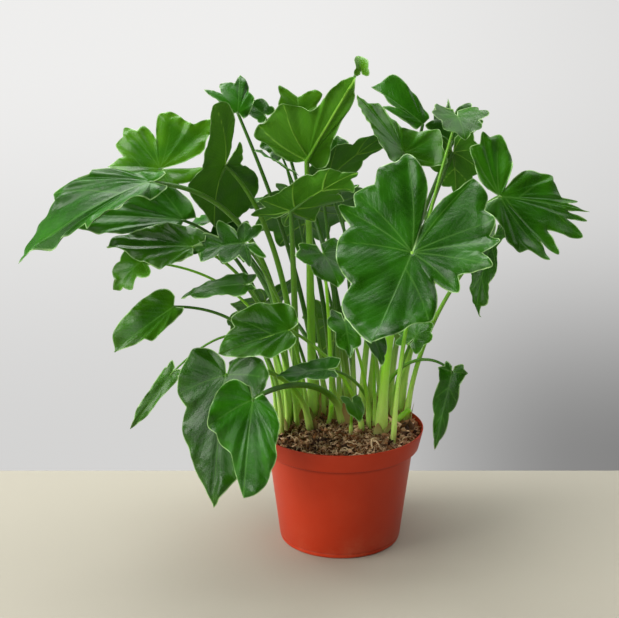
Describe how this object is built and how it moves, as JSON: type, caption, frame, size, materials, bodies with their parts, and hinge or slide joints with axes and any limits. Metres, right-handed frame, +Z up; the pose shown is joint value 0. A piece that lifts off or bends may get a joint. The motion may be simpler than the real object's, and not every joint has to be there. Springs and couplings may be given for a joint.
{
  "type": "potted philodendron",
  "caption": "Bushy philodendron with lobed, wavy-edged leaves on slender stalks, growing in soil in a round tapered terracotta-coloured plastic nursery pot.",
  "frame": {"origin": "centre of the pot's underside, on the surface that the pot stands on", "axes": "+Z up along the pot's axis, +Y away from the side shown in the picture, +X to that side's right"},
  "size_m": [0.5396, 0.406, 0.491],
  "materials": {
    "pot": "satin",
    "soil": "matte",
    "leaf": "satin",
    "stalk": "satin"
  },
  "bodies": {
    "root": {"pot": "pot", "soil": "soil", "leaf_front_big": "leaf", "leaf_centre_tall": "leaf", "leaf_centre_right": "leaf", "leaf_left_mid": "leaf", "leaf_left_upper": "leaf", "leaf_left_far": "leaf", "leaf_left_under": "leaf", "leaf_left_lower": "leaf", "leaf_left_curl": "leaf", "leaf_left_hang": "leaf", "leaf_left_flat": "leaf", "leaf_mid_spiky": "leaf", "leaf_lower_mid": "leaf", "leaf_hang_left": "leaf", "leaf_hang_front": "leaf", "leaf_left_tiny": "leaf", "leaf_small_right": "leaf", "leaf_small_mid": "leaf", "leaf_centre_dark": "leaf", "leaf_soil_tiny": "leaf", "leaf_right_low": "leaf", "leaf_right_hang": "leaf", "leaf_right_mid": "leaf", "leaf_right_fold": "leaf", "leaf_top_leaf": "leaf", "leaf_top_curl": "leaf", "leaf_right_spiky": "leaf", "leaf_right_behind": "leaf", "leaf_right_lower": "leaf", "leaf_top_left": "leaf", "leaf_back_top": "leaf", "leaf_inner_right": "leaf", "leaf_behind_tall": "leaf", "leaf_dark_behind": "leaf", "leaf_jag_right": "leaf", "leaf_edge_left": "leaf", "leaf_left_dark": "leaf", "leaf_right_cap": "leaf", "leaf_low_right": "leaf", "leaf_back_left": "leaf", "leaf_back_mid": "leaf", "leaf_back_right": "leaf", "leaf_back_low_left": "leaf", "leaf_back_low_right": "leaf", "leaf_back_low_mid": "leaf", "stub_front": "stalk", "stub_right": "stalk", "stub_back": "stalk", "stub_left": "stalk"}
  },
  "joints": []
}
